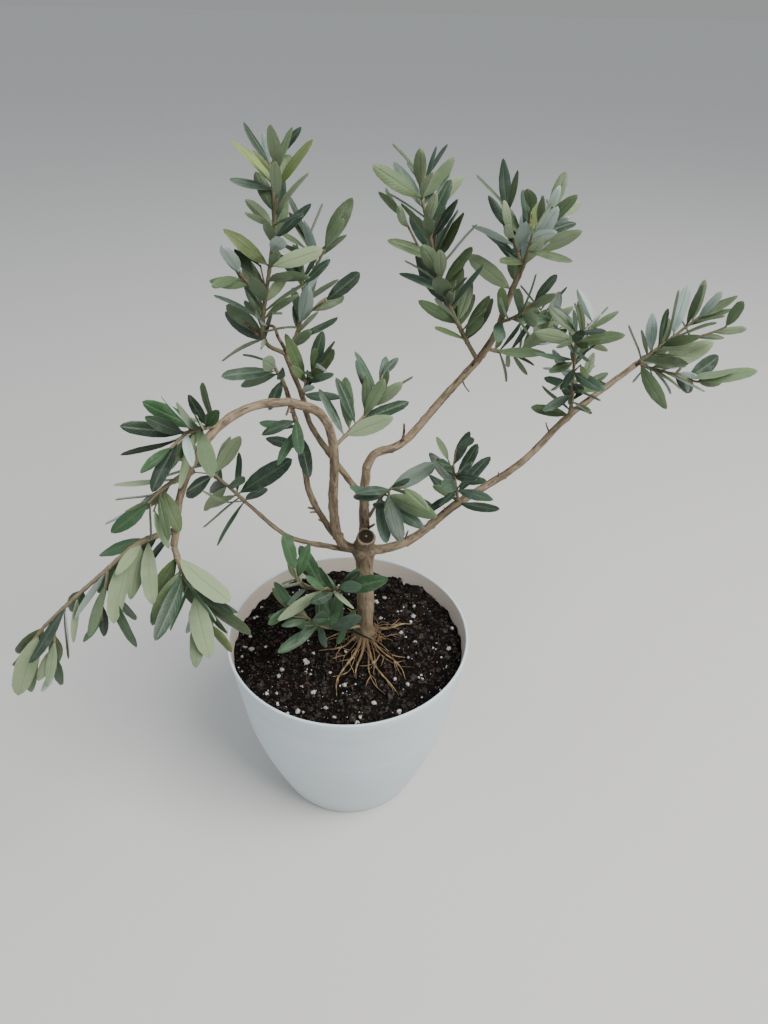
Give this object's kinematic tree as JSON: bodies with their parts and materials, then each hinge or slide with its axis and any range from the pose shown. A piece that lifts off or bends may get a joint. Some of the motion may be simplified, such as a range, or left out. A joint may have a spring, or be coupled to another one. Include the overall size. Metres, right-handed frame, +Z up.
{
  "type": "olive bonsai in a pot",
  "caption": "Small olive bonsai in a round white pot: short trunk with a sawn stump and surface roots, bare spreading boughs, an arching weeping branch, and tufts of grey-green leaves.",
  "frame": {"origin": "centre of the pot's flat underside", "axes": "+Z up, +X to the right and -Y towards the side the tree is looked at from; the arching branch hangs to -X"},
  "size_m": [0.5085, 0.2649, 0.5207],
  "materials": {
    "pot": "white satin plastic with faint streaks",
    "soil": "rough dark potting soil with pale grains",
    "bark": "dull tan-grey bark with small dark pores",
    "root": "dull yellow-tan bare roots",
    "foliage": "leathery satin leaves, grey-green above and silvery below"
  },
  "bodies": {
    "root": {"bough_arch_fall": "bark", "bough_arch_rise": "bark", "bough_left_inner": "bark", "bough_left_low": "bark", "bough_left_upper": "bark", "bough_right_low": "bark", "bough_right_top": "bark", "bough_right_upper": "bark", "leader": "bark", "pot": "pot", "root_back": "root", "root_front": "root", "root_front_left": "root", "root_front_right": "root", "root_left": "root", "root_left_low": "root", "root_right": "root", "root_right_low": "root", "shoot_arch_crown": "foliage", "shoot_arch_left": "foliage", "shoot_arch_left_low": "foliage", "shoot_leader_foot": "foliage", "shoot_right_end": "foliage", "shoot_right_end_low": "foliage", "shoot_right_fork": "foliage", "shoot_right_middle": "foliage", "shoot_right_thin": "foliage", "shoot_right_upright": "foliage", "shoot_top_left": "foliage", "shoot_top_middle": "foliage", "shoot_trunk_low": "foliage", "shoot_trunk_upper": "foliage", "shoot_weeping_long": "foliage", "shoot_weeping_short": "foliage", "soil": "soil", "trunk": "bark", "tuft_left_inner": "foliage", "tuft_left_inner_low": "foliage", "tuft_left_low": "foliage", "tuft_left_upper": "foliage", "tuft_right_low": "foliage", "tuft_right_top": "foliage", "tuft_right_top_side": "foliage", "tuft_top_middle": "foliage"}
  },
  "joints": []
}
